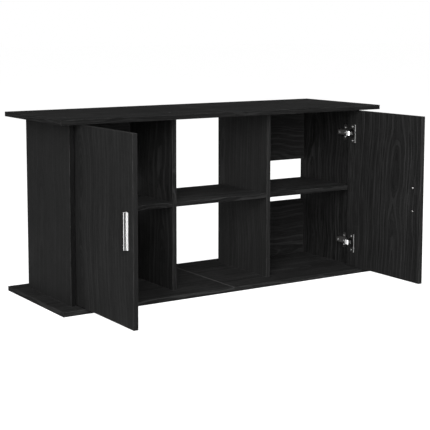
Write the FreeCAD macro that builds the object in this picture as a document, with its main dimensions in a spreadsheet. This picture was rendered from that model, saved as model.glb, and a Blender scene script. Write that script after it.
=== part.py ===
import FreeCAD, Part
import math
import os
import Sketcher

from FreeCAD import Placement, Rotation, Vector

# Aquarium stand cabinet for a 120 x 40 cm tank, in millimetres.
# Frame: +X to the right, +Y to the back, +Z up, origin at the centre of the base's underside.
# Both doors stand open at 90 degrees, which is the rest pose.

DIMENSIONS = {
    # carcass
    "CabinetLength": 1210,
    "CabinetDepth": 410,
    "CabinetHeight": 580,
    "BoardThickness": 15,
    "Overhang": 50,
    "BayWidth": 350,
    "EdgeRadius": 0.8,
    "SeamGap": 0.2,
    "ShelfMidHeight": 290,
    "ShelfSetback": 2.5,
    "BackPanelHeight": 200,
    "BackInset": 5,
    # doors
    "DoorEndGap": 2.5,
    "DoorSideGap": 3,
    "DoorFrontGap": 2,
    "PivotInset": 8.5,
    # joinery
    "ScrewPitch": 220,
    "ScrewHeadRadius": 4.7,
    "ScrewCollarRadius": 3.4,
    "ScrewThreadRadius": 2.9,
    "ScrewLength": 48,
    "ScrewRecess": 0.6,
    "ScrewHeadHeight": 2.1,
    "ScrewHeadRim": 1.1,
    "ScrewSocketRadius": 2.2,
    "DowelRadius": 3.95,
    "DowelLength": 30,
    "DowelShallow": 10,
    "DowelPitch": 110,
    "ShelfDowelPitch": 180,
    "MiddleDowelPitch": 110,
    "BackDowelPitch": 120,
    "SeamDowelPitch": 320,
    "SeamBoltPitch": 190,
    "SeamBoltRadius": 3,
    "CamRadius": 7.4,
    "CamHeight": 12.6,
    "CamFromSeam": 34,
    "CamInset": 0.5,
    "BoltHeadLength": 3,
    "Clearance": 0.1,
    "LooseFit": 0.5,
    # hinges
    "HingeFromEnd": 99,
    "PlateSetback": 52,
    "PlateThickness": 2,
    "PlateScrewPitch": 32,
    "PlateWingHeight": 54,
    "PlateWingWidth": 16,
    "PlateWingCorner": 5,
    "PlateSpineHeight": 19,
    "PlateSpineFront": 21,
    "PlateSpineRear": 29,
    "RibWidth": 11.6,
    "RibHeight": 8.5,
    "ArmWidth": 15,
    "ArmInnerWidth": 12.6,
    "ArmRoof": 2,
    "ArmRise": 12,
    "ArmSkirt": 3,
    "ArmFront": 14,
    "ArmRear": 26,
    "ArmScrewFront": 13,
    "ArmScrewRear": 18,
    "NeckGap": 2.25,
    "NeckThickness": 3,
    "NeckRound": 2.8,
    "HookThickness": 2.5,
    "HookWidth": 8.8,
    "EyeRadius": 2.1,
    "CupRadius": 17.4,
    "CupDepth": 11.7,
    "CupWall": 0.6,
    "CupFloor": 0.8,
    "CupRim": 0.6,
    "CupCentre": 20.5,
    "CupScrewPitch": 48,
    "CupScrewOffset": 4,
    "CheekThickness": 1.9,
    "CheekGap": 10,
    "CheekWidth": 4,
    "FlangeThickness": 1,
    "FlangeHeight": 63,
    "FlangeInner": 2.5,
    "FlangeOuter": 18,
    "PinRadius": 1.2,
    "PinLength": 13.8,
    "SmallScrewHead": 3.3,
    "SmallScrewHeadHeight": 1.7,
    "SmallScrewRadius": 1.75,
    "SmallScrewLength": 13,
    # handles
    "HandleLength": 106,
    "HandleHeight": 290,
    "HandleFromEdge": 36,
    "HandleScrewPitch": 76,
    "HandleProjection": 9.5,
    "HandleWeb": 6,
    "HandleLip": 2,
    "HandleLipReach": 5.5,
    "HandleBase": 2.5,
    "HandleBaseReach": 10,
    "HandleScrewHead": 3.6,
    "HandleScrewRadius": 1.9,
    "HandleScrewDepth": 6.5,
}


class Size:
    """A length that is known both as a number and as an expression of the sheet's cells."""

    def __init__(self, value, text):
        self.value = value
        self.text = text

    def __add__(self, other):
        other = as_size(other)
        return Size(self.value + other.value, f"({self.text} + {other.text})")

    def __sub__(self, other):
        other = as_size(other)
        return Size(self.value - other.value, f"({self.text} - {other.text})")

    def __mul__(self, factor):
        return Size(self.value * factor, f"({self.text} * {factor})")

    def __truediv__(self, divisor):
        return Size(self.value / divisor, f"({self.text} / {divisor})")

    def __radd__(self, other):
        return as_size(other) + self

    def __rsub__(self, other):
        return as_size(other) - self

    def __rmul__(self, factor):
        return self * factor

    def __neg__(self):
        return self * -1


def as_size(number):
    if isinstance(number, Size):
        return number
    return Size(number, f"({number})")


def dim(alias):
    return Size(DIMENSIONS[alias], f"Dims.{alias}")


doc = FreeCAD.newDocument("AquariumStand")
sheet = doc.addObject("Spreadsheet::Sheet", "Dims")
for row, (alias, number) in enumerate(DIMENSIONS.items(), start=1):
    sheet.set(f"A{row}", alias)
    sheet.set(f"B{row}", str(number))
    sheet.setAlias(f"B{row}", alias)
doc.recompute()

# ---------------------------------------------------------------- sizes worked out from the sheet

board = dim("BoardThickness")
clearance = dim("Clearance")
loose = dim("LooseFit")
half_length = dim("CabinetLength") / 2
half_depth = dim("CabinetDepth") / 2
height = dim("CabinetHeight")
upright_height = height - board * 2
side_outer = half_length - dim("Overhang")
side_inner = side_outer - board
divider_inner = dim("BayWidth") / 2
divider_outer = divider_inner + board
carcass_front = -(half_depth - dim("Overhang"))
carcass_rear = half_depth - dim("Overhang")
divider_front = carcass_front + board + dim("DoorFrontGap")
back_front = carcass_rear - dim("BackInset") - board
shelf_front = divider_front + dim("ShelfSetback")
shelf_depth = back_front - shelf_front
shelf_bottom = dim("ShelfMidHeight") - board / 2

door_width = side_inner - dim("DoorSideGap") - divider_inner
door_height = upright_height - dim("DoorEndGap") * 2
door_bottom = board + dim("DoorEndGap")
pivot_x = side_inner - dim("DoorSideGap") - dim("PivotInset")
pivot_y = carcass_front + board - dim("PivotInset")
door_inner_face = pivot_x - dim("PivotInset")
door_outer_face = door_inner_face + board
door_hinge_edge = pivot_y + dim("PivotInset")
door_free_edge = door_hinge_edge - door_width
cup_y = door_hinge_edge - dim("CupCentre")
cup_screw_y = cup_y - dim("CupScrewOffset")
handle_y = door_free_edge + dim("HandleFromEdge")
plate_y = carcass_front + dim("PlateSetback")
HINGE_LEVELS = {
    "lower": dim("HingeFromEnd"),
    "upper": height - dim("HingeFromEnd"),
}
SIDES = {"left": -1, "right": 1}

# Board orientations: each board is drawn flat, with its thickness along its own Z.
FLAT = Rotation()
UPRIGHT = Rotation(Vector(1, 1, 1), 120)
FACING_FRONT = Rotation(Vector(1, 0, 0), 90)
HALF_TURN_Y = Rotation(Vector(0, 1, 0), 180)

exported = []

# ---------------------------------------------------------------- sketch and feature helpers


def place(thing, position, rotation=Rotation()):
    thing.Placement = Placement(Vector(), rotation)
    for axis, size in zip("xyz", position):
        thing.setExpression(f".Placement.Base.{axis}", as_size(size).text)


def new_body(label, keep=True):
    body = doc.addObject("PartDesign::Body", label)
    body.Label = label
    if keep:
        exported.append(body)
    return body


def new_sketch(body, name, plane, offset=0):
    """Sketch on one of the body's own origin planes, moved along the plane's normal."""
    sketch = body.newObject("Sketcher::SketchObject", f"{body.Name}_{name}")
    planes = {feature.Role: feature for feature in body.Origin.OriginFeatures}
    sketch.AttachmentSupport = (planes[plane], [""])
    sketch.MapMode = "FlatFace"
    sketch.setExpression(".AttachmentOffset.Base.z", as_size(offset).text)
    return sketch


def constrain(sketch, size, kind, *points):
    index = sketch.addConstraint(Sketcher.Constraint(kind, *points, size.value))
    sketch.setExpression(f"Constraints[{index}]", size.text)


def pin_point(sketch, geometry, vertex, x, y):
    """Hold a point at (x, y) from the sketch's origin."""
    origin = (-1, 1)
    for size, kind, axis in ((as_size(x), "DistanceX", -2), (as_size(y), "DistanceY", -1)):
        if abs(size.value) < 1e-9:
            sketch.addConstraint(Sketcher.Constraint("PointOnObject", geometry, vertex, axis))
        elif size.value > 0:
            constrain(sketch, size, kind, *origin, geometry, vertex)
        else:
            constrain(sketch, -size, kind, geometry, vertex, *origin)


def outline(sketch, points):
    """Closed polygon through the given (x, y) sizes."""
    corners = [Vector(as_size(x).value, as_size(y).value, 0) for x, y in points]
    first = sketch.GeometryCount
    count = len(points)
    for index in range(count):
        line = Part.LineSegment(corners[index], corners[(index + 1) % count])
        sketch.addGeometry(line, False)
    for index in range(count):
        following = first + (index + 1) % count
        sketch.addConstraint(Sketcher.Constraint("Coincident", first + index, 2, following, 1))
    for index, (x, y) in enumerate(points):
        pin_point(sketch, first + index, 1, x, y)


def rectangle(sketch, low, high):
    outline(sketch, [low, (high[0], low[1]), high, (low[0], high[1])])


def circle(sketch, x, y, radius):
    centre = Vector(as_size(x).value, as_size(y).value, 0)
    geometry = sketch.addGeometry(Part.Circle(centre, Vector(0, 0, 1), radius.value), False)
    pin_point(sketch, geometry, 3, x, y)
    constrain(sketch, radius, "Radius", geometry)


def extrude(body, sketch, kind, length, reverse=False, symmetric=False):
    """Pad or pocket; each one has to change the solid's volume."""
    before = body.Shape.Volume if body.Tip else 0.0
    feature = body.newObject(f"PartDesign::{kind}", f"{sketch.Name}_{kind.lower()}")
    feature.Profile = sketch
    feature.setExpression("Length", as_size(length).text)
    feature.Reversed = reverse
    if symmetric:
        feature.SideType = "Symmetric"
    doc.recompute()
    change = body.Shape.Volume - before
    if kind == "Pad" and change <= 0 or kind == "Pocket" and change >= 0:
        raise RuntimeError(f"{feature.Name} changes nothing")
    return feature


def pad(body, sketch, length, **options):
    return extrude(body, sketch, "Pad", length, **options)


def pocket(body, sketch, length, **options):
    return extrude(body, sketch, "Pocket", length, **options)


def turned(body, name, points):
    """Solid of revolution about the body's Z axis, from (radius, height) points."""
    sketch = new_sketch(body, name, "XZ_Plane")
    outline(sketch, points)
    feature = body.newObject("PartDesign::Revolution", f"{sketch.Name}_revolution")
    feature.Profile = sketch
    feature.ReferenceAxis = (sketch, ["V_Axis"])
    feature.Angle = 360
    doc.recompute()
    return feature


def round_edges(body, feature, radius, wanted):
    """Fillet the feature's edges for which wanted(start, end) is true."""
    names = []
    for number, edge in enumerate(feature.Shape.Edges, start=1):
        if len(edge.Vertexes) == 2 and wanted(edge.Vertexes[0].Point, edge.Vertexes[1].Point):
            names.append(f"Edge{number}")
    fillet = body.newObject("PartDesign::Fillet", f"{body.Name}_fillet")
    fillet.Base = (feature, names)
    fillet.setExpression("Radius", radius.text)
    doc.recompute()
    return fillet


def group(label, master, places):
    """One node of identical loose solids: links to the master, each with its own place."""
    links = []
    for number, (position, rotation) in enumerate(places, start=1):
        link = doc.addObject("App::Link", f"{label}_{number}")
        link.LinkedObject = master
        place(link, position, rotation)
        links.append(link)
    compound = doc.addObject("Part::Compound", label)
    compound.Label = label
    compound.Links = links
    exported.append(compound)
    return compound


# ---------------------------------------------------------------- boards


def make_board(label, length, width, corner, rotation, wanted):
    """Melamine board with its edge-banded edges slightly rounded."""
    body = new_body(label)
    sketch = new_sketch(body, "outline", "XY_Plane")
    rectangle(sketch, (0, 0), (length, width))
    solid = pad(body, sketch, board)
    round_edges(body, solid, dim("EdgeRadius"), wanted)
    place(body, corner, rotation)
    return body


def drill_face(body, name, from_top, centres, radius, depth):
    """Blind or through holes across the board's thickness."""
    sketch = new_sketch(body, name, "XY_Plane", board if from_top else 0)
    for x, y in centres:
        circle(sketch, x, y, radius)
    pocket(body, sketch, depth, reverse=not from_top)


def drill_ends_x(body, name, length, centres, radius, depth):
    """Holes into both ends along the board's own X; centres are (y, z)."""
    for end, offset, reverse in (("start", as_size(0), True), ("finish", length, False)):
        sketch = new_sketch(body, f"{name}_{end}", "YZ_Plane", offset)
        for y, z in centres:
            circle(sketch, y, z, radius)
        pocket(body, sketch, depth, reverse=reverse)


def drill_ends_y(body, name, width, centres, radius, depth):
    """Holes into both edges along the board's own Y; centres are (x, z)."""
    for end, offset, reverse in (("start", as_size(0), False), ("finish", -width, True)):
        sketch = new_sketch(body, f"{name}_{end}", "XZ_Plane", offset)
        for x, z in centres:
            circle(sketch, x, z, radius)
        pocket(body, sketch, depth, reverse=reverse)


def along(direction):
    """Edge filter: edges that run along one of the board's own axes."""

    def wanted(start, end):
        return abs((end - start).normalize()[direction]) > 0.99

    return wanted


def pair(middle, pitch):
    return [middle - pitch / 2, middle + pitch / 2]


screw_ys = pair(as_size(0), dim("ScrewPitch"))
dowel_ys = pair(as_size(0), dim("DowelPitch"))
shelf_dowel_ys = pair(as_size(0), dim("ShelfDowelPitch"))
middle_dowel_ys = pair(as_size(0), dim("MiddleDowelPitch"))
seam_dowel_ys = pair(as_size(0), dim("SeamDowelPitch"))
seam_bolt_ys = pair(as_size(0), dim("SeamBoltPitch"))
side_mid = side_inner + board / 2
divider_mid = divider_inner + board / 2
BACK_PANEL_BOTTOMS = {
    "lower": board,
    "upper": height - board - dim("BackPanelHeight"),
}
dowel_hole = dim("DowelRadius") + clearance / 2
dowel_shallow_hole = dim("DowelShallow") + clearance
dowel_deep_hole = dim("DowelLength") - dim("DowelShallow") + clearance
pilot_hole = dim("SmallScrewRadius") + clearance


def make_plate_half(level, side):
    """Half of the base or the top; the two halves meet at the middle seam."""
    is_base = level == "base"
    sign = SIDES[side]
    length = half_length - dim("SeamGap") / 2
    corner_x = -half_length if sign < 0 else dim("SeamGap") / 2
    seam_x = length.value if sign < 0 else 0.0

    def local_x(distance):
        """Own x of a point at the given distance from the middle of the cabinet."""
        return half_length - distance if sign < 0 else distance - dim("SeamGap") / 2

    def outside_seam(start, end):
        return not (abs(start.x - seam_x) < 1e-6 and abs(end.x - seam_x) < 1e-6)

    corner = (corner_x, -half_depth, 0 if is_base else height - board)
    body = make_board(
        f"{level}_board_{side}", length, dim("CabinetDepth"), corner, FLAT, outside_seam
    )
    screws = [(local_x(x), half_depth + y) for x in (side_mid, divider_mid) for y in screw_ys]
    dowels = [(local_x(x), half_depth + y) for x in (side_mid, divider_mid) for y in dowel_ys]
    cams = [(local_x(dim("CamFromSeam")), half_depth + y) for y in seam_bolt_ys]
    outer_is_top = not is_base
    shank_hole = dim("ScrewCollarRadius") + clearance
    head_hole = dim("ScrewHeadRadius") + clearance
    head_depth = dim("ScrewRecess") + dim("ScrewHeadHeight") + clearance
    cam_depth = dim("CamInset") + dim("CamHeight") + clearance
    drill_face(body, "screw_shanks", outer_is_top, screws, shank_hole, board)
    drill_face(body, "screw_heads", outer_is_top, screws, head_hole, head_depth)
    drill_face(body, "dowels", is_base, dowels, dowel_hole, dowel_shallow_hole)
    # the seam's cams hide under each plate
    drill_face(body, "cams", False, cams, dim("CamRadius") + clearance, cam_depth)
    end_offset = length if sign < 0 else as_size(0)
    bolts = new_sketch(body, "seam_bolts", "YZ_Plane", end_offset)
    for y in seam_bolt_ys:
        circle(bolts, half_depth + y, board / 2, dim("SeamBoltRadius") + loose)
    pocket(body, bolts, dim("CamFromSeam"), reverse=sign > 0)
    plugs = new_sketch(body, "seam_dowels", "YZ_Plane", end_offset)
    for y in seam_dowel_ys:
        circle(plugs, half_depth + y, board / 2, dowel_hole)
    pocket(body, plugs, dim("DowelLength") / 2 + clearance, reverse=sign > 0)
    return body


def make_upright(label, corner_x, front, bay_faces, middle_face=None):
    """Side panel or divider. bay_faces: which faces (True = own top) carry an outer bay."""
    depth = carcass_rear - front
    body = make_board(
        label, depth, upright_height, (corner_x, front, board), UPRIGHT, along(1)
    )
    ends = [(y - front, board / 2) for y in screw_ys]
    drill_ends_y(
        body, "screws", upright_height, ends,
        dim("ScrewThreadRadius") + clearance,
        dim("ScrewRecess") + dim("ScrewLength") - board + loose,
    )
    ends = [(y - front, board / 2) for y in dowel_ys]
    drill_ends_y(body, "dowels", upright_height, ends, dowel_hole, dowel_deep_hole)
    centres = [(y - front, dim("ShelfMidHeight") - board) for y in shelf_dowel_ys]
    back_y = back_front + board / 2 - front
    for bottom in BACK_PANEL_BOTTOMS.values():
        for z in pair(bottom + dim("BackPanelHeight") / 2, dim("BackDowelPitch")):
            centres.append((back_y, z - board))
    drill_face(body, "bay_dowels", bay_faces, centres, dowel_hole, dowel_shallow_hole)
    if middle_face is not None:
        centres = [(y - front, dim("ShelfMidHeight") - board) for y in middle_dowel_ys]
        drill_face(body, "middle_dowels", middle_face, centres, dowel_hole, dowel_shallow_hole)
    return body


def make_side_panel(side):
    sign = SIDES[side]
    inner_is_top = sign < 0
    corner_x = -side_outer if sign < 0 else side_inner
    body = make_upright(f"side_panel_{side}", corner_x, carcass_front, inner_is_top)
    pilots = []
    for level in HINGE_LEVELS.values():
        for z in pair(level, dim("PlateScrewPitch")):
            pilots.append((plate_y - carcass_front, z - board))
    depth = dim("SmallScrewLength") - dim("PlateThickness") + loose
    drill_face(body, "plate_screws", inner_is_top, pilots, pilot_hole, depth)


def make_divider(side):
    sign = SIDES[side]
    outer_is_top = sign > 0
    corner_x = -divider_outer if sign < 0 else divider_inner
    make_upright(f"divider_{side}", corner_x, divider_front, outer_is_top, not outer_is_top)


def make_shelf(bay, corner_x, ys):
    corner = (corner_x, shelf_front, shelf_bottom)
    body = make_board(f"shelf_{bay}", dim("BayWidth"), shelf_depth, corner, FLAT, along(0))
    centres = [(y - shelf_front, board / 2) for y in ys]
    drill_ends_x(body, "dowels", dim("BayWidth"), centres, dowel_hole, dowel_deep_hole)


def make_back_panel(side, level):
    corner_x = -side_inner if SIDES[side] < 0 else divider_outer
    corner = (corner_x, back_front + board, BACK_PANEL_BOTTOMS[level])
    body = make_board(
        f"back_panel_{side}_{level}", dim("BayWidth"), dim("BackPanelHeight"),
        corner, FACING_FRONT, along(0),
    )
    heights = pair(dim("BackPanelHeight") / 2, dim("BackDowelPitch"))
    centres = [(z, board / 2) for z in heights]
    drill_ends_x(body, "dowels", dim("BayWidth"), centres, dowel_hole, dowel_deep_hole)


def make_door(side):
    """Door, standing open: its inner face looks at the other door."""
    sign = SIDES[side]
    inner_is_top = sign < 0
    corner_x = -door_outer_face if sign < 0 else door_inner_face
    corner = (corner_x, door_free_edge, door_bottom)
    body = make_board(f"door_{side}", door_width, door_height, corner, UPRIGHT, lambda a, b: True)
    levels = [level - door_bottom for level in HINGE_LEVELS.values()]
    cups = [(cup_y - door_free_edge, level) for level in levels]
    cup_hole = dim("CupRadius") + clearance
    drill_face(body, "cups", inner_is_top, cups, cup_hole, dim("CupDepth") + clearance)
    pilots = []
    for level in levels:
        for z in pair(level, dim("CupScrewPitch")):
            pilots.append((cup_screw_y - door_free_edge, z))
    depth = dim("SmallScrewLength") - dim("FlangeThickness") + loose
    drill_face(body, "cup_screws", inner_is_top, pilots, pilot_hole, depth)
    screws = [
        (handle_y - door_free_edge, z - door_bottom)
        for z in pair(dim("HandleHeight"), dim("HandleScrewPitch"))
    ]
    screw_hole = dim("HandleScrewRadius") + loose
    drill_face(body, "handle_screws", inner_is_top, screws, screw_hole, board)


# ---------------------------------------------------------------- hinges
# Hinge frame: x from the side panel's inner face towards the bay, y as in the cabinet,
# z from the hinge's middle. Every piece is symmetric in z, so a half turn about y
# makes the right-hand hinge from the left-hand one.

pin_x = side_inner - pivot_x
door_face_x = side_inner - door_inner_face
flange_face_x = door_face_x + dim("FlangeThickness")
roof_low = dim("ArmRise")
roof_high = roof_low + dim("ArmRoof")
neck_low = door_face_x + dim("NeckGap")
neck_high = neck_low + dim("NeckThickness")
arm_front = pivot_y + dim("ArmFront")
arm_rear = plate_y + dim("ArmRear")
hook_front = pivot_y - dim("HookThickness") / 2
HINGE_SCREW_YS = [plate_y - dim("ArmScrewFront"), plate_y + dim("ArmScrewRear")]


def place_hinge_piece(thing, side, level):
    sign = SIDES[side]
    rotation = FLAT if sign < 0 else HALF_TURN_Y
    place(thing, (side_inner * sign, 0, HINGE_LEVELS[level]), rotation)


def make_hinge_plate(side, level):
    """Cruciform mounting plate, with a rib that the arm sits over."""
    body = new_body(f"hinge_{side}_{level}_plate")
    thickness = dim("PlateThickness")
    half_width, half_wing = dim("PlateWingWidth") / 2, dim("PlateWingHeight") / 2
    wings = new_sketch(body, "wings", "YZ_Plane")
    rectangle(wings, (plate_y - half_width, -half_wing), (plate_y + half_width, half_wing))
    solid = pad(body, wings, thickness)
    round_edges(body, solid, dim("PlateWingCorner"), along(0))
    front, rear = plate_y - dim("PlateSpineFront"), plate_y + dim("PlateSpineRear")
    half_spine, half_rib = dim("PlateSpineHeight") / 2, dim("RibWidth") / 2
    spine = new_sketch(body, "spine", "YZ_Plane")
    rectangle(spine, (front, -half_spine), (rear, half_spine))
    pad(body, spine, thickness)
    rib = new_sketch(body, "rib", "YZ_Plane")
    rectangle(rib, (front + 1, -half_rib), (rear - 4, half_rib))
    pad(body, rib, dim("RibHeight"))
    holes = new_sketch(body, "screw_holes", "YZ_Plane", thickness)
    for z in pair(as_size(0), dim("PlateScrewPitch")):
        circle(holes, plate_y, z, dim("SmallScrewRadius") + clearance * 2)
    pocket(body, holes, thickness)
    taps = new_sketch(body, "tapped_holes", "YZ_Plane", dim("RibHeight"))
    for y in HINGE_SCREW_YS:
        circle(taps, y, 0, pilot_hole)
    pocket(body, taps, dim("RibHeight") - thickness)
    place_hinge_piece(body, side, level)


def make_hinge_arm(side, level):
    """Channel over the plate's rib; its neck hooks round the door's edge to the pin."""
    body = new_body(f"hinge_{side}_{level}_arm")
    bend = neck_low - roof_low
    profile = new_sketch(body, "channel", "XY_Plane")
    outline(profile, [
        (dim("ArmSkirt"), arm_rear),
        (dim("ArmSkirt"), arm_front),
        (roof_low, arm_front),
        (neck_low, arm_front - bend * 0.44),
        (neck_low, hook_front),
        (neck_high, hook_front),
        (neck_high, arm_front - bend * 0.1),
        (roof_high + 1.5, arm_front + 3.5),
        (roof_high, arm_front + 5),
        (roof_high, arm_rear),
    ])
    solid = pad(body, profile, dim("ArmWidth"), symmetric=True)
    nose = neck_high.value - 1e-3
    round_edges(body, solid, dim("NeckRound"), lambda a, b: min(a.x, b.x) > nose and along(2)(a, b))
    hollow = new_sketch(body, "hollow", "XY_Plane")
    rectangle(hollow, (dim("ArmSkirt") - 1, arm_front - 1), (roof_low, arm_rear + 1))
    pocket(body, hollow, dim("ArmInnerWidth"), symmetric=True)
    hook = new_sketch(body, "hook", "XY_Plane")
    rectangle(hook, (pin_x, hook_front), (neck_low + 0.1, hook_front + dim("HookThickness")))
    pad(body, hook, dim("HookWidth"), symmetric=True)
    eye = new_sketch(body, "eye", "XY_Plane")
    circle(eye, pin_x, pivot_y, dim("EyeRadius"))
    pad(body, eye, dim("HookWidth"), symmetric=True)
    bore = new_sketch(body, "bore", "XY_Plane")
    circle(bore, pin_x, pivot_y, dim("PinRadius") + clearance / 2)
    pocket(body, bore, dim("HookWidth") + 1, symmetric=True)
    slots = new_sketch(body, "screw_slots", "YZ_Plane", roof_high)
    for y in HINGE_SCREW_YS:
        circle(slots, y, 0, dim("SmallScrewRadius") + loose)
    pocket(body, slots, dim("ArmRoof"))
    place_hinge_piece(body, side, level)


def make_hinge_cup(side, level):
    """Cup sunk into the door, with a screwed flange and two cheeks that hold the pin."""
    body = new_body(f"hinge_{side}_{level}_cup")
    bottom = door_face_x - dim("CupDepth")
    floor = bottom + dim("CupFloor")
    shell = new_sketch(body, "shell", "YZ_Plane", bottom)
    circle(shell, cup_y, 0, dim("CupRadius"))
    pad(body, shell, dim("CupDepth"))
    ring = new_sketch(body, "ring", "YZ_Plane", door_face_x)
    circle(ring, cup_y, 0, dim("CupRadius") + dim("CupRim"))
    pad(body, ring, dim("FlangeThickness"))
    wings = new_sketch(body, "wings", "YZ_Plane", door_face_x)
    outer, inner = cup_y - dim("FlangeOuter"), cup_y + dim("FlangeInner")
    half_flange = dim("FlangeHeight") / 2
    rectangle(wings, (outer, -half_flange), (inner, half_flange))
    pad(body, wings, dim("FlangeThickness"))
    inside = new_sketch(body, "inside", "YZ_Plane", flange_face_x)
    circle(inside, cup_y, 0, dim("CupRadius") - dim("CupWall"))
    pocket(body, inside, flange_face_x - floor)
    cheeks = new_sketch(body, "cheeks", "YZ_Plane", floor)
    near, half_cheek = dim("CheekGap") / 2, dim("CheekWidth") / 2
    far = near + dim("CheekThickness")
    for low, high in ((near, far), (-far, -near)):
        rectangle(cheeks, (pivot_y - half_cheek, low), (pivot_y + half_cheek, high))
    pad(body, cheeks, pin_x + dim("PinRadius") * 2 - floor)
    bore = new_sketch(body, "bore", "XY_Plane")
    circle(bore, pin_x, pivot_y, dim("PinRadius"))
    pocket(body, bore, far * 2 + 0.2, symmetric=True)
    holes = new_sketch(body, "screw_holes", "YZ_Plane", flange_face_x)
    for z in pair(as_size(0), dim("CupScrewPitch")):
        circle(holes, cup_screw_y, z, dim("SmallScrewRadius") + clearance * 2)
    pocket(body, holes, dim("FlangeThickness"))
    place_hinge_piece(body, side, level)


def make_hinge_pin(side, level):
    body = new_body(f"hinge_{side}_{level}_pin")
    rod = new_sketch(body, "rod", "XY_Plane")
    circle(rod, pin_x, pivot_y, dim("PinRadius"))
    pad(body, rod, dim("PinLength"), symmetric=True)
    place_hinge_piece(body, side, level)


# ---------------------------------------------------------------- handles
# Handle frame: x out of the door's outer face, y as in the cabinet, z from the handle's middle.


def place_on_door(thing, side):
    """Own x points out of the open door's outer face."""
    sign = SIDES[side]
    rotation = FLAT if sign > 0 else HALF_TURN_Y
    place(thing, (door_outer_face * sign, handle_y, dim("HandleHeight")), rotation)


def make_handle(side):
    """Extruded pull: a screwed web, a foot flange and a hooked lip with a finger gap between."""
    body = new_body(f"handle_{side}")
    web = dim("HandleWeb") / 2
    out = dim("HandleProjection")
    profile = new_sketch(body, "profile", "XY_Plane")
    outline(profile, [
        (0, web),
        (0, -dim("HandleBaseReach")),
        (dim("HandleBase"), -dim("HandleBaseReach")),
        (dim("HandleBase"), -web),
        (out - dim("HandleLip"), -web),
        (out - dim("HandleLip"), -dim("HandleLipReach")),
        (out, -dim("HandleLipReach")),
        (out, web),
    ])
    solid = pad(body, profile, dim("HandleLength"), symmetric=True)

    def outer_corner(start, end):
        """Long edges away from the door, apart from the root of the finger gap."""
        root = abs(start.y + web.value) < 1e-6
        return along(2)(start, end) and start.x > 1 and not root

    round_edges(body, solid, dim("EdgeRadius"), outer_corner)
    taps = new_sketch(body, "tapped_holes", "YZ_Plane")
    for z in pair(as_size(0), dim("HandleScrewPitch")):
        circle(taps, 0, z, dim("HandleScrewRadius") + clearance / 2)
    pocket(body, taps, dim("HandleScrewDepth") + loose, reverse=True)
    place_on_door(body, side)


# ---------------------------------------------------------------- fasteners


def cross_outline(sketch, arm, slot):
    """Cross for a screwdriver: arm is its reach, slot half its width."""
    outline(sketch, [
        (arm, -slot), (arm, slot), (slot, slot), (slot, arm), (-slot, arm), (-slot, slot),
        (-arm, slot), (-arm, -slot), (-slot, -slot), (-slot, -arm), (slot, -arm), (slot, -slot),
    ])


def make_screw(label, head_radius, head_height, radius, length):
    """Raised-head screw on its own Z: the head's underside at z = 0, the shank below."""
    body = new_body(label, keep=False)
    crown = head_height * 0.45
    turned(body, "profile", [
        (0, -length),
        (radius * 0.45, -length),
        (radius, -length + radius * 1.2),
        (radius, 0),
        (head_radius, 0),
        (head_radius, crown),
        (head_radius * 0.72, head_height * 0.85),
        (head_radius * 0.35, head_height),
        (0, head_height),
    ])
    cross = new_sketch(body, "recess", "XY_Plane", head_height)
    cross_outline(cross, head_radius * 0.62, head_radius * 0.13)
    pocket(body, cross, head_height * 0.7)
    return body


def make_dowel():
    """Beech dowel with chamfered ends, lying along its own Z, its middle at z = 0."""
    body = new_body("dowel", keep=False)
    radius = dim("DowelRadius")
    half = dim("DowelLength") / 2
    turned(body, "profile", [
        (0, -half),
        (radius - 1, -half),
        (radius, 1 - half),
        (radius, half - 1),
        (radius - 1, half),
        (0, half),
    ])
    return body


def make_confirmat():
    """One-piece furniture connecting screw; the head's outer face at z = 0, the shank below."""
    body = new_body("confirmat", keep=False)
    collar = dim("ScrewCollarRadius")
    thread = dim("ScrewThreadRadius")
    collar_end = -(board - dim("ScrewRecess"))
    turned(body, "profile", [
        (0, 0),
        (dim("ScrewHeadRadius"), 0),
        (dim("ScrewHeadRadius"), -dim("ScrewHeadRim")),
        (collar, -dim("ScrewHeadHeight")),
        (collar, collar_end),
        (thread, collar_end),
        (thread, -dim("ScrewLength") + 3),
        (thread * 0.4, -dim("ScrewLength")),
        (0, -dim("ScrewLength")),
    ])
    socket = new_sketch(body, "socket", "XY_Plane")
    corners = [(math.cos(math.radians(60 * n)), math.sin(math.radians(60 * n))) for n in range(6)]
    size = dim("ScrewSocketRadius")
    outline(socket, [(size * c, size * s) for c, s in corners])
    pocket(body, socket, dim("ScrewHeadHeight"))
    return body


def make_seam_bolt():
    """Double-ended cam bolt along its own X, its middle at x = 0."""
    body = new_body("seam_bolt", keep=False)
    reach = dim("CamFromSeam")
    head_length = dim("BoltHeadLength")
    neck = head_length * 1.5
    rod = new_sketch(body, "rod", "YZ_Plane")
    circle(rod, 0, 0, dim("SeamBoltRadius"))
    pad(body, rod, (reach - neck) * 2, symmetric=True)
    core = new_sketch(body, "core", "YZ_Plane")
    circle(core, 0, 0, dim("SeamBoltRadius") - 1)
    pad(body, core, reach * 2, symmetric=True)
    start = reach - head_length / 2
    for name, offset, reverse in (("head_right", start, False), ("head_left", -start, True)):
        head = new_sketch(body, name, "YZ_Plane", offset)
        circle(head, 0, 0, dim("SeamBoltRadius"))
        pad(body, head, head_length, reverse=reverse)
    return body


def make_cam():
    """Cam disc with a slot for the bolt's head; screwdriver face at z = 0, the disc above it."""
    body = new_body("cam", keep=False)
    radius = dim("CamRadius")
    half_slot = dim("SeamBoltRadius") + loose
    disc = new_sketch(body, "disc", "XY_Plane")
    circle(disc, 0, 0, radius)
    pad(body, disc, dim("CamHeight"))
    slot_bottom = board / 2 - dim("CamInset") - half_slot
    slot = new_sketch(body, "slot", "XY_Plane", slot_bottom)
    rectangle(slot, (-radius - 1, -half_slot), (half_slot, half_slot))
    pocket(body, slot, half_slot * 2, reverse=True)
    cross = new_sketch(body, "recess", "XY_Plane")
    cross_outline(cross, radius * 0.43, radius * 0.08)
    pocket(body, cross, slot_bottom / 2, reverse=True)
    return body


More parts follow.
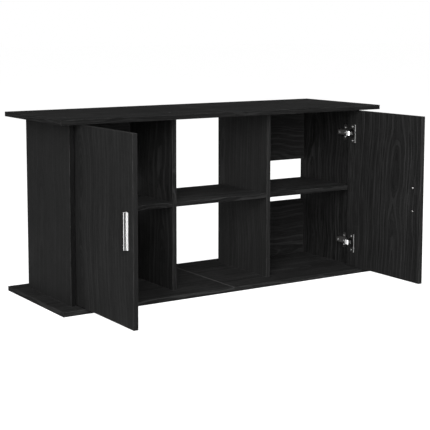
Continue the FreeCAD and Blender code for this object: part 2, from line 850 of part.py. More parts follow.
ALONG_X = Rotation(Vector(0, 1, 0), 90)
ALONG_MINUS_X = Rotation(Vector(0, 1, 0), -90)
HEAD_DOWN = Rotation(Vector(1, 0, 0), 180)
CAM_LEFT = Rotation(Vector(0, 0, 1), 180)


def make_joinery():
    confirmat = make_confirmat()
    dowel = make_dowel()
    upright_xs = [sign * x for sign in (-1, 1) for x in (side_mid, divider_mid)]
    recess = dim("ScrewRecess")
    base_screws = [((x, y, recess), HEAD_DOWN) for x in upright_xs for y in screw_ys]
    top_screws = [((x, y, height - recess), FLAT) for x in upright_xs for y in screw_ys]
    group("confirmat_screws_base", confirmat, base_screws)
    group("confirmat_screws_top", confirmat, top_screws)
    rise = dim("DowelLength") / 2 - dim("DowelShallow")
    base_dowels = [((x, y, board + rise), FLAT) for x in upright_xs for y in dowel_ys]
    top_dowels = [((x, y, height - board - rise), FLAT) for x in upright_xs for y in dowel_ys]
    group("dowels_base", dowel, base_dowels)
    group("dowels_top", dowel, top_dowels)
    shelf_dowels = []
    back_dowels = []
    back_heights = []
    for bottom in BACK_PANEL_BOTTOMS.values():
        back_heights += pair(bottom + dim("BackPanelHeight") / 2, dim("BackDowelPitch"))
    for sign in SIDES.values():
        for x in (side_inner - rise, divider_outer + rise):
            for y in shelf_dowel_ys:
                shelf_dowels.append(((sign * x, y, dim("ShelfMidHeight")), ALONG_X))
            for z in back_heights:
                back_dowels.append(((sign * x, back_front + board / 2, z), ALONG_X))
        for y in middle_dowel_ys:
            place_x = sign * (divider_inner - rise)
            shelf_dowels.append(((place_x, y, dim("ShelfMidHeight")), ALONG_X))
    group("dowels_shelves", dowel, shelf_dowels)
    group("dowels_back_panels", dowel, back_dowels)
    mid_heights = (board / 2, height - board / 2)
    seam_dowels = [((0, y, z), ALONG_X) for z in mid_heights for y in seam_dowel_ys]
    group("dowels_seams", dowel, seam_dowels)
    bolts = [((0, y, z), FLAT) for z in mid_heights for y in seam_bolt_ys]
    group("seam_bolts", make_seam_bolt(), bolts)
    cams = []
    for sign, rotation in ((-1, CAM_LEFT), (1, FLAT)):
        for low in (as_size(0), height - board):
            for y in seam_bolt_ys:
                place_x = sign * dim("CamFromSeam")
                cams.append(((place_x, y, low + dim("CamInset")), rotation))
    group("seam_cams", make_cam(), cams)


def make_screws():
    small = make_screw(
        "small_screw", dim("SmallScrewHead"), dim("SmallScrewHeadHeight"),
        dim("SmallScrewRadius"), dim("SmallScrewLength"),
    )
    adjusting = make_screw(
        "adjusting_screw", as_size(3.6), as_size(1.6), dim("SmallScrewRadius"), as_size(10),
    )
    long = make_screw(
        "long_screw", dim("HandleScrewHead"), as_size(2.2),
        dim("HandleScrewRadius"), board + dim("HandleScrewDepth"),
    )
    plate_screws = []
    adjusting_screws = []
    for side, sign in SIDES.items():
        towards_bay = ALONG_X if sign < 0 else ALONG_MINUS_X
        cup_screws = []
        for level in HINGE_LEVELS.values():
            for z in pair(level, dim("PlateScrewPitch")):
                x = sign * (side_inner - dim("PlateThickness"))
                plate_screws.append(((x, plate_y, z), towards_bay))
            for y in HINGE_SCREW_YS:
                x = sign * (side_inner - roof_high)
                adjusting_screws.append(((x, y, level), towards_bay))
            for z in pair(level, dim("CupScrewPitch")):
                x = sign * (door_inner_face - dim("FlangeThickness"))
                cup_screws.append(((x, cup_screw_y, z), towards_bay))
        group(f"cup_screws_{side}", small, cup_screws)
        heights = pair(dim("HandleHeight"), dim("HandleScrewPitch"))
        places = [((sign * door_inner_face, handle_y, z), towards_bay) for z in heights]
        group(f"handle_screws_{side}", long, places)
    group("hinge_plate_screws", small, plate_screws)
    group("hinge_adjusting_screws", adjusting, adjusting_screws)


# ---------------------------------------------------------------- the cabinet

for side in SIDES:
    make_plate_half("base", side)
    make_plate_half("top", side)
    make_side_panel(side)
    make_divider(side)
    make_door(side)
    make_handle(side)
    for level in ("lower", "upper"):
        make_back_panel(side, level)
        make_hinge_plate(side, level)
        make_hinge_arm(side, level)
        make_hinge_cup(side, level)
        make_hinge_pin(side, level)
make_shelf("left", -side_inner, shelf_dowel_ys)
make_shelf("centre", -divider_inner, middle_dowel_ys)
make_shelf("right", divider_outer, shelf_dowel_ys)
make_joinery()
make_screws()
doc.recompute()

# ---------------------------------------------------------------- checks and export

for thing in doc.Objects:
    if {"Invalid", "Error"} & set(thing.State):
        raise RuntimeError(f"{thing.Name} failed: {thing.State}")
for piece in exported:
    if piece.Shape.isNull() or not piece.Shape.isValid():
        raise RuntimeError(f"{piece.Label} has no valid shape")

os.makedirs("parts", exist_ok=True)
for piece in exported:
    piece.Shape.exportStep(os.path.join("parts", f"{piece.Label}.step"))
    print(f"{piece.Label}: {len(piece.Shape.Solids)} solids, {piece.Shape.Volume / 1000:.2f} cm3")
print(f"{len(exported)} nodes")
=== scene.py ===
import math
from functools import reduce

import bmesh
import bpy
from mathutils import Euler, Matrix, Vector


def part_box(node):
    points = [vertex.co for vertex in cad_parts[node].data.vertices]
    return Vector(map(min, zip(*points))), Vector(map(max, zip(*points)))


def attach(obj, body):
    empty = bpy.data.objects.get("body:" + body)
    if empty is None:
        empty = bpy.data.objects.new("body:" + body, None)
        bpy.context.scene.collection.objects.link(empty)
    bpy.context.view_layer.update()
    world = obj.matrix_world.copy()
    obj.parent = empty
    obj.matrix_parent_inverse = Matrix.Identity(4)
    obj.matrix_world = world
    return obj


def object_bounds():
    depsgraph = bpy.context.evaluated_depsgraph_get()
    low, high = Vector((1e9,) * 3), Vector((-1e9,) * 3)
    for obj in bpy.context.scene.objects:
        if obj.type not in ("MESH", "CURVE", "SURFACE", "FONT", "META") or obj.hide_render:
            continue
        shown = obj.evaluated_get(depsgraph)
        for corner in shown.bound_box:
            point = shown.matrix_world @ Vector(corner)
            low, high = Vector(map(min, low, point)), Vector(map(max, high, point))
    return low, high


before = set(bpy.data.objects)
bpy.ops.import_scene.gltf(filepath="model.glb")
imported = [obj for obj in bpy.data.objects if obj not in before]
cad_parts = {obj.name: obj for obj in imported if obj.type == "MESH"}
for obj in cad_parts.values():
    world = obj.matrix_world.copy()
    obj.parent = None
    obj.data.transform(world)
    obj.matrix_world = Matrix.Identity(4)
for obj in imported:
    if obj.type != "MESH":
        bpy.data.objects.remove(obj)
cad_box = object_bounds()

# Aquarium stand cabinet in black oak melamine, with nickel-plated hinges and aluminium pulls.
# Everything is in metres in the frame of the cabinet: +X right, +Y back, +Z up, floor at Z = 0.
# Sizes with a name that ends in _MM are millimetres.

MM = 0.001
LOW, HIGH = cad_box
CENTRE = (LOW + HIGH) / 2

# ---------------------------------------------------------------- node graphs


class Graph:
    """Short calls for building one material's node tree round its Principled shader."""

    def __init__(self, name):
        self.material = bpy.data.materials.new(name)
        self.material.use_nodes = True
        self.tree = self.material.node_tree
        self.shader = self.tree.nodes["Principled BSDF"]
        self.coordinates = self.tree.nodes.new("ShaderNodeTexCoord")

    def feed(self, socket, value):
        """Link a socket, or set its constant."""
        if isinstance(value, bpy.types.NodeSocket):
            self.tree.links.new(value, socket)
        else:
            socket.default_value = value

    def node(self, kind, *values, **settings):
        """New node: settings are its properties, values its inputs in order."""
        made = self.tree.nodes.new(kind)
        for name, setting in settings.items():
            setattr(made, name, setting)
        for socket, value in zip(made.inputs, values):
            self.feed(socket, value)
        return made

    def math(self, operation, *values):
        return self.node("ShaderNodeMath", *values, operation=operation).outputs[0]

    def vector(self, operation, *values):
        return self.node("ShaderNodeVectorMath", *values, operation=operation).outputs[0]

    def split(self, vector):
        return self.node("ShaderNodeSeparateXYZ", vector).outputs

    def combine(self, x, y, z):
        return self.node("ShaderNodeCombineXYZ", x, y, z).outputs[0]

    def ramp(self, value, low, high, start=0.0, end=1.0):
        """Smooth step of value from low to high, going out as start to end."""
        made = self.node("ShaderNodeMapRange", interpolation_type="SMOOTHSTEP")
        for socket, number in zip(made.inputs, (value, low, high, start, end)):
            self.feed(socket, number)
        return made.outputs[0]

    def noise(self, vector, stretch, detail=2.0, roughness=0.5):
        """Noise in 0..1 whose features measure about stretch along each axis."""
        scale = tuple(1 / length for length in stretch)
        made = self.node("ShaderNodeTexNoise", noise_dimensions="3D")
        made.inputs["Scale"].default_value = 1.0
        made.inputs["Detail"].default_value = detail
        made.inputs["Roughness"].default_value = roughness
        self.feed(made.inputs["Vector"], self.vector("MULTIPLY", vector, scale))
        return made.outputs["Fac"]

    def noise_line(self, value, detail=2.0, roughness=0.5):
        """Noise in 0..1 along one number."""
        made = self.node("ShaderNodeTexNoise", noise_dimensions="1D")
        made.inputs["Scale"].default_value = 1.0
        made.inputs["Detail"].default_value = detail
        made.inputs["Roughness"].default_value = roughness
        self.feed(made.inputs["W"], value)
        return made.outputs["Fac"]

    def blend(self, share, first, second):
        """Colour between first and second."""
        made = self.node("ShaderNodeMix", data_type="RGBA")
        self.feed(made.inputs[0], share)
        self.feed(made.inputs[6], first)
        self.feed(made.inputs[7], second)
        return made.outputs[2]

    def choose(self, share, first, second):
        """Vector between first and second."""
        made = self.node("ShaderNodeMix", data_type="VECTOR")
        self.feed(made.inputs[0], share)
        self.feed(made.inputs[4], first)
        self.feed(made.inputs[5], second)
        return made.outputs[1]

    def millimetres(self):
        """Place of the surface point in the cabinet's frame, in millimetres."""
        place = self.coordinates.outputs["Object"]
        return self.vector("MULTIPLY", place, (1 / MM,) * 3)

    def bump(self, height, strength, distance):
        made = self.node("ShaderNodeBump")
        made.inputs["Strength"].default_value = strength
        made.inputs["Distance"].default_value = distance
        self.feed(made.inputs["Height"], height)
        self.feed(self.shader.inputs["Normal"], made.outputs["Normal"])

    def finish(self, colour, roughness, **constants):
        """Feed the shader; constants are its own sockets, set by name."""
        self.feed(self.shader.inputs["Base Color"], colour)
        self.feed(self.shader.inputs["Roughness"], roughness)
        for name, number in constants.items():
            self.shader.inputs[name.replace("_", " ")].default_value = number
        return self.material


def grey(level, warmth=0.0):
    return (level * (1 + warmth), level, level * (1 - warmth), 1.0)


# ---------------------------------------------------------------- black oak boards

# mean tone of the print
OAK_GREY = 0.0060

# how far each board's sheet is moved through the noise from the one before it
SHEET_STEP_MM, RING_STEP = (913.0, 371.0, 157.0), 41.0

# noise layers: size of a feature along the grain, across it and into the board in millimetres,
# then octaves and, where it isn't the usual half, how rough they are
OAK_LAYERS = {
    "sway": ((260.0, 4000.0, 60.0), 1.0),
    "swell": ((190.0, 500.0, 50.0), 1.0),
    "ripple": ((55.0, 16.0, 30.0), 2.0),
    "fibre": ((150.0, 2.6, 2.6), 3.0, 0.65),
    "figure": ((230.0, 9.0, 9.0), 2.0),
    "cloud": ((340.0, 85.0, 60.0), 2.0),
    "pores": ((16.0, 0.42, 0.42), 1.0),
    "breaks": ((70.0, 7.0, 7.0), 2.0, 0.6),
    "rubbing": ((38.0, 30.0, 30.0), 3.0, 0.7),
    "smudges": ((120.0, 95.0, 95.0), 3.0, 0.6),
}

# growth rings round a buried pith: their spacing, how much narrower than round their arches
# are, how far the pith sways, swells and dips along the board, and how far a ring ripples
RING_MM = 17.0
ARCH_NARROWING = 1.9
SWAY_MM, SWELL_MM, RIPPLE_MM = 70.0, 110.0, 9.0
PITH_DEPTH_MM, PITH_SLOPE = 20.0, 0.14
DEPTH_STRETCH = 1.7
RING_OCTAVES, RING_ROUGH = 2.0, 0.6

# values of a noise between which a mark comes up, from none to full
BREAK_RISE, LINE_RISE, BAND_RISE = (0.34, 0.56), (0.085, 0.01), (0.40, 0.60)
PORE_RISE, EARLY_WOOD_RISE = (0.60, 0.68), (0.66, 0.46)
RUBBING_RISE, SMUDGE_RISE = (0.36, 0.66), (0.32, 0.70)

# shade of the print by mark or layer: the values it changes between, then the shade at each
PRINT_SHADES = {
    "band": (0.0, 1.0, 0.62, 1.25),
    "line": (0.0, 1.0, 1.0, 0.30),
    "fibre": (0.28, 0.72, 0.70, 1.45),
    "figure": (0.30, 0.70, 0.80, 1.22),
    "pore": (0.0, 1.0, 1.0, 0.25),
}
CLOUD_SHADE = (0.30, 0.70, 0.90, 1.10)

# what pores, soft bands and vessel lines add to the surface's roughness and relief
PORE_ROUGH, BAND_ROUGH, LINE_RELIEF = 0.22, -0.05, 0.6

# roughness range and specular level: satin on the uprights and doors, matt on the level boards
SATIN_ROUGH, SATIN_GLOSS = (0.56, 0.68), 0.10
MATT_ROUGH, MATT_GLOSS = (0.76, 0.88), 0.03
LEVEL_BOARDS = ("base", "shelf", "top")

# lighter wear where the edges are rubbed, and a lighter stripe beside the middle seam: its tone,
# the distances from the edge or seam at which it starts and is full, and how strong it is
EDGE_WORN, EDGE_REACH_MM, EDGE_WEAR = grey(0.0300, 0.01), (1.3, 0.2), 0.42
SEAM_STRIPE_TONE, SEAM_REACH_MM = grey(0.0650, 0.01), (2.8, 0.6)
SEAM_STRIPE_STRENGTH = {"base": 0.75, "top": 0.30}

# cosine of the angle within which a face counts as square to an axis, and a soft step to it
SQUARE_ON = 0.7
SQUARE_RISE = (0.6, 0.8)


class OakBoard(Graph):
    """Black oak decor laid over one board along its grain axis."""

    def __init__(self, name, node, seed, grain):
        super().__init__(name)
        low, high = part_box(node)
        centre, self.half = (low + high) / 2 / MM, (high - low) / 2 / MM
        self.kind = node.split("_")[0]
        self.seed, self.grain = seed, grain
        self.thickness = min(range(3), key=lambda axis: self.half[axis])
        self.across = next(axis for axis in range(3) if axis not in (grain, self.thickness))
        self.place = self.vector("SUBTRACT", self.millimetres(), tuple(centre))
        normal = self.coordinates.outputs["Normal"]
        self.facing = self.split(self.vector("ABSOLUTE", normal))
        self.flat = self.lay_out()
        sample = self.vector("ADD", self.flat, tuple(seed * step for step in SHEET_STEP_MM))
        self.layers = {layer: self.noise(sample, *spec) for layer, spec in OAK_LAYERS.items()}

    def lay_out(self):
        """Coordinates along the grain, across it and into the board.

        The banding on an end face runs along that end, not into it.
        """
        parts = self.split(self.place)
        along, side, depth = parts[self.grain], parts[self.across], parts[self.thickness]
        on_end = self.math("GREATER_THAN", self.facing[self.grain], SQUARE_ON)
        decor, banding = self.combine(along, side, depth), self.combine(side, along, depth)
        return self.choose(on_end, decor, banding)

    def rings(self, heart):
        """Noise over the distance from the pith.

        It draws arches along the heart and straight lines beside it.
        """
        along, side, depth = self.split(self.flat)
        to_heart = -SWAY_MM / 2 - heart * self.half[self.across]
        offset = self.math("MULTIPLY_ADD", self.layers["sway"], SWAY_MM, to_heart)
        sideways = self.math("MULTIPLY", self.math("ADD", side, offset), ARCH_NARROWING)
        taper = self.math("MULTIPLY_ADD", along, PITH_SLOPE, -PITH_DEPTH_MM)
        buried = self.math("MULTIPLY_ADD", self.layers["swell"], SWELL_MM, taper)
        buried_square = self.math("MULTIPLY", buried, buried)
        radius = self.math("SQRT", self.math("MULTIPLY_ADD", sideways, sideways, buried_square))
        wavy = self.math("MULTIPLY_ADD", self.layers["ripple"], RIPPLE_MM, radius)
        deep = self.math("MULTIPLY_ADD", depth, DEPTH_STRETCH, wavy)
        ring = self.math("MULTIPLY_ADD", deep, 1 / RING_MM, self.seed * RING_STEP)
        return self.noise_line(ring, RING_OCTAVES, RING_ROUGH)

    def marks(self, rings):
        """Dark vessel lines, soft bands and pores, each 0 to 1."""
        broken = self.ramp(self.layers["breaks"], *BREAK_RISE)
        crossing = self.math("ABSOLUTE", self.math("SUBTRACT", rings, 0.5))
        open_grain = self.ramp(self.layers["pores"], *PORE_RISE)
        return {
            "line": self.math("MULTIPLY", self.ramp(crossing, *LINE_RISE), broken),
            "band": self.ramp(rings, *BAND_RISE),
            "pore": self.math("MULTIPLY", open_grain, self.ramp(rings, *EARLY_WOOD_RISE)),
        }

    def printed(self, marks, contrast, painted_light_tone, front_painted_shade):
        """Colour of the sheet before wear."""
        sources = {**self.layers, **marks}
        shades = [self.ramp(sources[source], *shade) for source, shade in PRINT_SHADES.items()]
        shade = reduce(lambda first, second: self.math("MULTIPLY", first, second), shades)
        softened = self.math("MULTIPLY_ADD", shade, contrast, 1.0 - contrast)
        drift = self.ramp(self.layers["cloud"], *CLOUD_SHADE)
        # painted shade on the faces to front and rear, and each board's painted light and shade in
        # its tone
        front_shade_mask = self.ramp(self.facing[1], *SQUARE_RISE, 1.0, front_painted_shade)
        sheet = self.math("MULTIPLY", front_shade_mask, OAK_GREY * painted_light_tone)
        level = self.math("MULTIPLY", self.math("MULTIPLY", softened, drift), sheet)
        return self.combine(level, level, level)

    def edge_worn(self, colour):
        """Rubbed along the box's edges: the middle one of the gaps to its faces is the nearest."""
        reach = self.vector("SUBTRACT", tuple(self.half), self.vector("ABSOLUTE", self.place))
        x, y, z = self.split(reach)
        least = self.math("MINIMUM", self.math("MINIMUM", x, y), z)
        most = self.math("MAXIMUM", self.math("MAXIMUM", x, y), z)
        total = self.math("ADD", self.math("ADD", x, y), z)
        to_edge = self.math("SUBTRACT", self.math("SUBTRACT", total, least), most)
        near_edge = self.ramp(to_edge, *EDGE_REACH_MM)
        edge = self.math("MULTIPLY", near_edge, self.ramp(self.layers["rubbing"], *RUBBING_RISE))
        return self.blend(self.math("MULTIPLY", edge, EDGE_WEAR), colour, EDGE_WORN)

    def seam_stripe(self, colour):
        """Lighter stripe on the level faces beside the joint of the two halves, at X = 0."""
        to_seam = self.math("ABSOLUTE", self.split(self.millimetres())[0])
        level_face = self.math("GREATER_THAN", self.facing[2], SQUARE_ON)
        seam = self.math("MULTIPLY", self.ramp(to_seam, *SEAM_REACH_MM), level_face)
        stripe = self.math("MULTIPLY", seam, SEAM_STRIPE_STRENGTH[self.kind])
        return self.blend(stripe, colour, SEAM_STRIPE_TONE)


def oak_material(name, node, seed, grain, heart, contrast, painted_light_tone, front_painted_shade=1.0):
    """Black oak on one board.

    grain is the axis that the decor runs along and heart is how far across the board, from
    -1 to 1, its cathedral arches are centred. contrast is how strongly the print shows,
    painted_light_tone how light this board's sheet is drawn, set board by board as painted light
    and shade, and front_painted_shade how much darker its faces to front and rear are drawn, as
    painted shade.
    """
    board = OakBoard(name, node, seed, grain)
    marks = board.marks(board.rings(heart))
    colour = board.edge_worn(board.printed(marks, contrast, painted_light_tone, front_painted_shade))
    if board.kind in SEAM_STRIPE_STRENGTH:
        colour = board.seam_stripe(colour)
    matt = board.kind in LEVEL_BOARDS
    roughness, gloss = (MATT_ROUGH, MATT_GLOSS) if matt else (SATIN_ROUGH, SATIN_GLOSS)
    handled = board.ramp(board.layers["smudges"], *SMUDGE_RISE, *roughness)
    porous = board.math("MULTIPLY_ADD", marks["pore"], PORE_ROUGH, handled)
    rough = board.math("MULTIPLY_ADD", marks["band"], BAND_ROUGH, porous)
    groove = board.math("ADD", marks["pore"], board.math("MULTIPLY", marks["line"], LINE_RELIEF))
    relief = board.math("SUBTRACT", board.layers["fibre"], groove)
    board.bump(relief, strength=0.35, distance=0.12 * MM)
    return board.finish(colour, rough, Specular_IOR_Level=gloss)


# grain axis (0 along the length of the cabinet, 2 upright), heart, contrast, then the board's
# tone and front tone, both painted light and shade
BOARDS = {
    "base_board_left": (0, 0.25, 0.7, 1.8, 0.9),
    "base_board_right": (0, -0.35, 0.7, 2.0, 0.9),
    "top_board_left": (0, -0.2, 0.7, 1.5, 0.65),
    "top_board_right": (0, 0.4, 0.7, 1.55, 0.65),
    # the left side's front edge is drawn almost black: a painted shadow of the open door
    "side_panel_left": (2, 0.3, 0.3, 0.92, 0.02),
    "side_panel_right": (2, 0.55, 1.1, 0.95, 0.12),
    "divider_left": (2, -0.5, 0.95, 1.15),
    "divider_right": (2, 0.8, 0.5, 1.28),
    "shelf_left": (0, 0.5, 0.8, 1.9, 0.75),
    "shelf_centre": (0, 1.4, 0.8, 2.1, 0.65),
    "shelf_right": (0, -0.6, 0.8, 1.95, 0.5),
    "back_panel_left_lower": (0, 0.9, 0.85, 1.6),
    "back_panel_left_upper": (0, -0.4, 0.85, 1.3),
    "back_panel_right_lower": (0, -0.9, 0.85, 1.0),
    "back_panel_right_upper": (0, -1.1, 0.8, 1.2),
    "door_left": (2, 0.75, 0.55, 1.0, 0.6),
    "door_right": (2, -0.35, 0.75, 1.28),
}

# ---------------------------------------------------------------- metals, wood plugs and plastic

# where a fitting's painted shadow or painted highlight starts: past this |x|, or in front of
# this y, with the doors open
GROOVE_SHADOW_OUT_MM, GROOVE_SHADOW_FRONT_MM = 540.0, -467.6
FLANGE_EDGE_MM = -176.6
NECK_FRONT_MM = -130.5

# pulls: drawing lines between two tones, faded patches, painted shade on faces to front and rear,
# painted shadow in the finger groove
PULL_DARK, PULL_BRIGHT, PULL_PATCH = grey(0.88), grey(0.98), grey(0.82, 0.01)
PULL_FRONT_SHADE, PULL_GROOVE_SHADOW = grey(0.18), grey(0.004)

# hinges: nickel between two tones, drawn very dark as painted shade, painted highlights on the
# flange edge and neck, painted shade inside the cup
HINGE_SHADED_DARK, HINGE_SHADED_LIGHT = grey(0.045, 0.02), grey(0.08, 0.02)
FLANGE_HIGHLIGHT, NECK_HIGHLIGHT, CUP_INSIDE_SHADE = grey(0.85), grey(0.92), grey(0.02)
FLANGE_THICKNESS_MM = 1.0

# how much a plated skin's mottle adds to its roughness
MOTTLE_ROUGH = 0.14

BEECH_DARK, BEECH_LIGHT = (0.56, 0.36, 0.19, 1.0), (0.70, 0.50, 0.29, 1.0)
BEECH_FLECK = (0.34, 0.19, 0.09, 1.0)
PLASTIC_DARK, PLASTIC_SCUFFED = grey(0.0095), grey(0.020)


def pull_aluminium(name):
    """Satin anodised extrusion, drawing lines along its height, painted shadow in its finger
    groove.
    """
    graph = Graph(name)
    place = graph.millimetres()
    lines = graph.noise(place, (0.22, 0.22, 60.0), 2.0, 0.6)
    patches = graph.noise(place, (14.0, 14.0, 30.0), 2.0)
    colour = graph.blend(graph.ramp(lines, 0.3, 0.7), PULL_DARK, PULL_BRIGHT)
    toned = graph.blend(graph.ramp(patches, 0.35, 0.7, 0.0, 0.25), colour, PULL_PATCH)
    facing = graph.split(graph.vector("ABSOLUTE", graph.coordinates.outputs["Normal"]))
    # painted shade: the faces to front and rear are drawn darker
    front_shaded = graph.blend(graph.ramp(facing[1], *SQUARE_RISE), toned, PULL_FRONT_SHADE)
    x, y, _ = graph.split(place)
    # painted shadow in the finger groove, under its lip
    past_foot = graph.ramp(graph.math("ABSOLUTE", x), GROOVE_SHADOW_OUT_MM, GROOVE_SHADOW_OUT_MM + 0.6)
    in_front = graph.ramp(y, GROOVE_SHADOW_FRONT_MM, GROOVE_SHADOW_FRONT_MM - 0.8)
    in_groove_shadow = graph.math("MULTIPLY", past_foot, in_front)
    groove_shadowed = graph.blend(graph.math("MULTIPLY", in_groove_shadow, 0.98), front_shaded, PULL_GROOVE_SHADOW)
    rough = graph.math("MULTIPLY_ADD", lines, 0.16, graph.ramp(patches, 0.3, 0.7, 0.34, 0.42))
    graph.bump(lines, strength=0.25, distance=0.05 * MM)
    return graph.finish(groove_shadowed, rough, Metallic=0.78)


def mottled_skin(graph, place, spots, dark, bright, least_rough, haze_mm=6.0, haze_rough=0.12):
    """Mottle, colour and roughness of a plated skin.

    spots and haze_mm are the sizes of the mottle and of the haze. least_rough is the roughness
    where there is neither, and haze_rough what the haze adds.
    """
    mottle = graph.noise(place, (spots,) * 3, 3.0, 0.6)
    haze = graph.noise(place, (haze_mm,) * 3, 2.0)
    colour = graph.blend(graph.ramp(mottle, 0.34, 0.66), dark, bright)
    hazed = graph.ramp(haze, 0.3, 0.7, least_rough, least_rough + haze_rough)
    return mottle, colour, graph.math("MULTIPLY_ADD", mottle, MOTTLE_ROUGH, hazed)


def plated_steel(name, dark, bright, least_rough, spots):
    """Pressed or turned steel with a plated skin, between two tones."""
    graph = Graph(name)
    place = graph.millimetres()
    _, colour, rough = mottled_skin(graph, place, spots, dark, bright, least_rough)
    grain = graph.noise(place, (0.35,) * 3, 2.0)
    graph.bump(grain, strength=0.12, distance=0.03 * MM)
    return graph.finish(colour, rough, Metallic=1.0)


def cup_steel(name, mouth):
    """Nickel flange with a painted highlight along its front edge, round a cup painted in shade
    inside.

    mouth is the flange's |x|.
    """
    graph = Graph(name)
    place = graph.millimetres()
    mottle, colour, rough = mottled_skin(
        graph, place, 1.8, HINGE_SHADED_DARK, HINGE_SHADED_LIGHT, 0.22, haze_mm=7.0, haze_rough=0.14
    )
    x, y, _ = graph.split(place)
    # painted highlight along the flange's front edge
    flange_highlight = graph.ramp(y, FLANGE_EDGE_MM + 0.3, FLANGE_EDGE_MM - 0.3)
    edged = graph.blend(flange_highlight, colour, FLANGE_HIGHLIGHT)
    # painted shade inside the cup
    inside = graph.ramp(graph.math("ABSOLUTE", x), mouth / MM + 0.1, mouth / MM + 0.7)
    sunk = graph.blend(graph.math("MULTIPLY", inside, 0.94), edged, CUP_INSIDE_SHADE)
    graph.bump(mottle, strength=0.12, distance=0.05 * MM)
    return graph.finish(sunk, rough, Metallic=0.85)


def arm_steel(name, mouth):
    """Pressed hinge arm, dull, in painted shade but for a painted highlight on the neck that
    stands in front of the side panel.

    mouth is the |x| at which the neck goes into the cup.
    """
    graph = Graph(name)
    place = graph.millimetres()
    mottle, colour, rough = mottled_skin(graph, place, 2.0, HINGE_SHADED_DARK, HINGE_SHADED_LIGHT, 0.34)
    x, y, _ = graph.split(place)
    # painted highlight on the neck, out of the cup and in front of the side panel
    outside = graph.ramp(graph.math("ABSOLUTE", x), mouth / MM + 0.3, mouth / MM - 0.3)
    forward = graph.ramp(y, NECK_FRONT_MM + 1.0, NECK_FRONT_MM - 1.0)
    toned = graph.blend(graph.math("MULTIPLY", outside, forward), colour, NECK_HIGHLIGHT)
    graph.bump(mottle, strength=0.12, distance=0.04 * MM)
    return graph.finish(toned, rough, Metallic=0.7)


def beech(name):
    """Turned beech with fine flecks."""
    graph = Graph(name)
    place = graph.millimetres()
    flecks = graph.noise(place, (1.4,) * 3, 3.0, 0.6)
    bands = graph.noise(place, (9.0, 3.0, 9.0), 2.0)
    colour = graph.blend(graph.ramp(bands, 0.3, 0.7), BEECH_DARK, BEECH_LIGHT)
    flecked = graph.blend(graph.ramp(flecks, 0.58, 0.72, 0.0, 0.6), colour, BEECH_FLECK)
    graph.bump(flecks, strength=0.3, distance=0.1 * MM)
    return graph.finish(flecked, graph.ramp(bands, 0.3, 0.7, 0.55, 0.7))


def black_plastic(name):
    """Moulded screw cover, finely grained."""
    graph = Graph(name)
    place = graph.millimetres()
    grained = graph.noise(place, (0.5,) * 3, 2.0)
    scuffs = graph.noise(place, (5.0,) * 3, 3.0, 0.7)
    colour = graph.blend(graph.ramp(scuffs, 0.5, 0.75), PLASTIC_DARK, PLASTIC_SCUFFED)
    graph.bump(grained, strength=0.3, distance=0.05 * MM)
    return graph.finish(colour, graph.ramp(scuffs, 0.3, 0.7, 0.5, 0.66), Specular_IOR_Level=0.25)


def paint(node, material):
    """Give a CAD node its finish without touching its mesh."""
    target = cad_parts[node]
    for index in range(max(1, len(target.material_slots))):
        if len(target.material_slots) <= index:
            target.data.materials.append(material)
        target.material_slots[index].link = "OBJECT"
        target.material_slots[index].material = material


# ---------------------------------------------------------------- screw caps

UPRIGHTS = ("side_panel_left", "divider_left", "divider_right", "side_panel_right")
SCREW_HEAD_MM = 4.7
CAP_SIDES = 40

# radius of each ring of a cap, from its dimple outwards, and how far it is sunk
CAP_PROFILE_MM = ((1.1, 0.16), (1.4, 0.04), (3.8, 0.04), (4.3, 0.10), (4.6, 0.30), (4.6, 0.56))


def make_caps(level, face_z, outward, material):
    """Push-in covers over the furniture screws, flush in the board's outer face."""
    low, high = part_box("confirmat_screws_" + level)
    inset = SCREW_HEAD_MM * MM
    mesh = bmesh.new()
    for upright in UPRIGHTS:
        x = sum(corner[0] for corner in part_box(upright)) / 2
        for y in (low[1] + inset, high[1] - inset):
            add_cap(mesh, x, y, face_z, outward)
    bmesh.ops.recalc_face_normals(mesh, faces=mesh.faces)
    data = bpy.data.meshes.new("screw_caps_" + level)
    mesh.to_mesh(data)
    mesh.free()
    data.materials.append(material)
    caps = bpy.data.objects.new("screw_caps_" + level, data)
    bpy.context.scene.collection.objects.link(caps)
    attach(caps, "carcass")


def add_cap(mesh, x, y, face_z, outward):
    """One dimpled disc: rings of the profile, closed over its middle and underneath."""
    rings = []
    for radius, sunk in CAP_PROFILE_MM:
        ring = []
        for step in range(CAP_SIDES):
            turn = math.tau * step / CAP_SIDES
            corner = Vector((math.cos(turn), math.sin(turn), 0)) * radius * MM
            ring.append(mesh.verts.new(corner + Vector((x, y, face_z - outward * sunk * MM))))
        rings.append(ring)
    mesh.faces.new(rings[0])
    mesh.faces.new(rings[-1])
    for inner, outer in zip(rings, rings[1:]):
        for step in range(CAP_SIDES):
            after = (step + 1) % CAP_SIDES
            face = mesh.faces.new((inner[step], inner[after], outer[after], outer[step]))
            face.smooth = True


# ---------------------------------------------------------------- stage

# pale floor: half its length in metres, how white the camera sees it, and its drifting tone
FLOOR_REACH = 40.0
FLOOR_GLOW = 0.93
FLOOR_DARK, FLOOR_LIGHT, FLOOR_DRIFT_MM = grey(0.24), grey(0.26), 900.0

# place in metres, turn to the right and tilt down in degrees, lens and sensor in millimetres,
# and shift of the picture as a share of its width
CAMERA_PLACE = (-2.0239, -3.1812, 0.8520)
CAMERA_TURN, CAMERA_TILT = 32.782, 6.259
CAMERA_LENS, CAMERA_SENSOR = 95.45, 36.0
CAMERA_SHIFT_X, CAMERA_SHIFT_Y = 0.0204, -0.15

# light from the world: an axis, the two places on it between which the light changes, and its
# strength at each: round the horizon against overhead, and none from the right against the left
WORLD_BANDS = (("Z", 0.30, 0.45, 0.32, 0.03), ("X", 0.0, -0.8, 0.0, 0.62))

# softboxes: place from the middle of the cabinet and width in metres, and power in watts
SOFTBOXES = {
    "key": ((-2.6, -3.4, 3.4), 3.0, 360.0),
    "front": ((-2.6, -3.9, 0.9), 3.0, 530.0),
    "overhead": ((0.3, -3.2, 4.0), 3.0, 30.0),
    "right": ((4.2, -1.0, 2.6), 2.6, 180.0),
}


